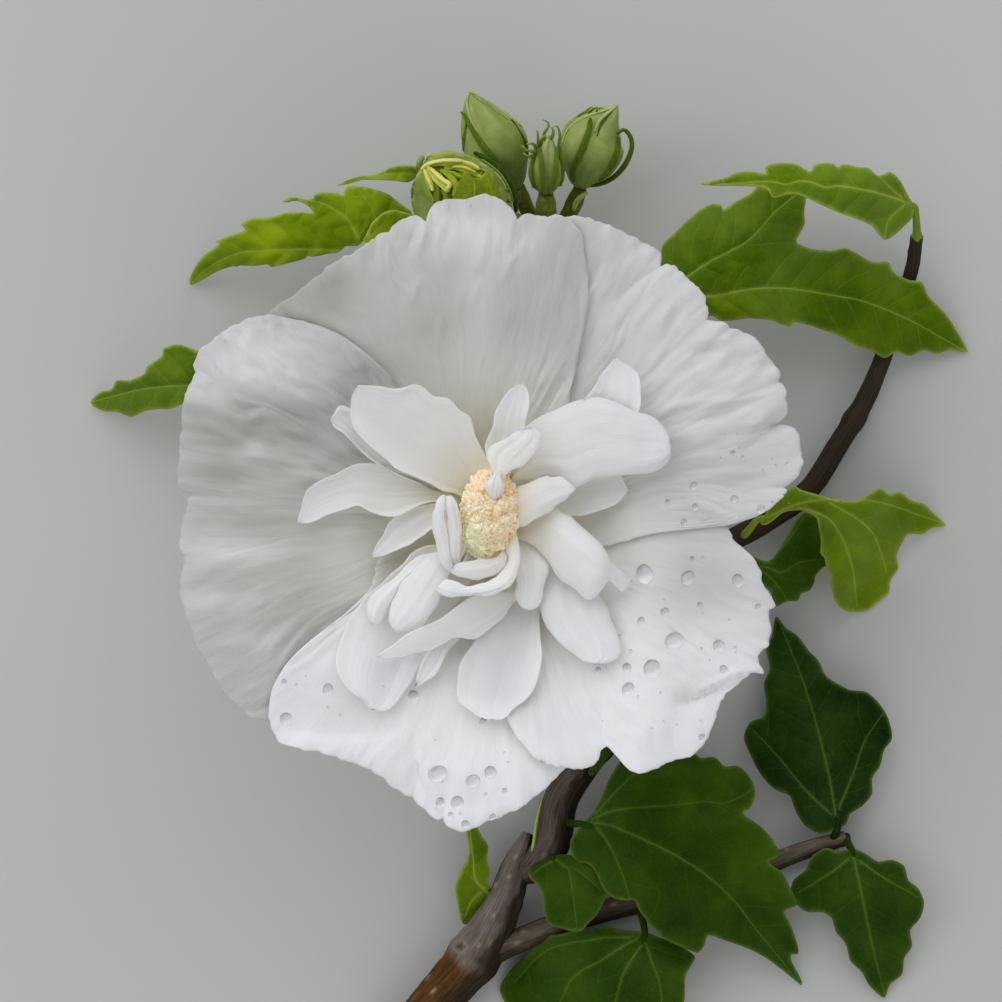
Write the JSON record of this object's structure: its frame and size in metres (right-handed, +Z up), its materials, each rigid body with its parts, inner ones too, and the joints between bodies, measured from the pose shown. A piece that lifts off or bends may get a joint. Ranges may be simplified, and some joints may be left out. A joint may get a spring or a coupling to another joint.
{
  "type": "cut flowering branch of rose of sharon",
  "caption": "Cut flowering branch of rose of sharon lying down, with a double white bloom, a cluster of green buds, a forked woody stem and lobed, toothed leaves",
  "frame": {"origin": "middle of the branch's outline, seen from above, at the height of the surface it lies on", "axes": "+Z up; the bloom opens upward toward +Z; the stem's cut end points toward -Y and the buds toward +Y; +X to the right, seen from above"},
  "size_m": [0.1648, 0.185, 0.062],
  "materials": {
    "bark": "matt grey-brown bark, rust brown at the cut end",
    "leaf": "satin green leaf, paler veins",
    "petal": "soft white petal, cream at the throat, with clear water droplets",
    "bud_green": "matt felted grey-green",
    "stamen": "matt powdery cream yellow"
  },
  "bodies": {
    "root": {"main_stem": "bark", "lower_shoot": "bark", "upper_shoot": "bark", "lower_twig": "bark", "right_shoot": "bark", "right_shoot_tip": "bark", "left_twig": "bark", "flower_stalk": "bud_green", "bud_stalk_1": "bud_green", "bud_stalk_2": "bud_green", "bud_stalk_3": "bud_green", "bud_stalk_4": "bud_green", "calyx": "bud_green", "epicalyx": "bud_green", "bud_1": "bud_green", "bud_2": "bud_green", "bud_3": "bud_green", "bud_4": "bud_green", "stamen_column": "stamen", "petal_top": "petal", "petal_right": "petal", "petal_lower_right": "petal", "petal_lower_left": "petal", "petal_left": "petal", "petaloids": "petal", "leaf_upper_left": "leaf", "leaf_bud": "leaf", "leaf_left": "leaf", "leaf_top_right": "leaf", "leaf_right": "leaf", "leaf_right_mid": "leaf", "leaf_right_under": "leaf", "leaf_big": "leaf", "leaf_small": "leaf", "leaf_bottom": "leaf", "leaf_stem": "leaf", "leaf_shade": "leaf", "leaf_end": "leaf"}
  },
  "joints": []
}
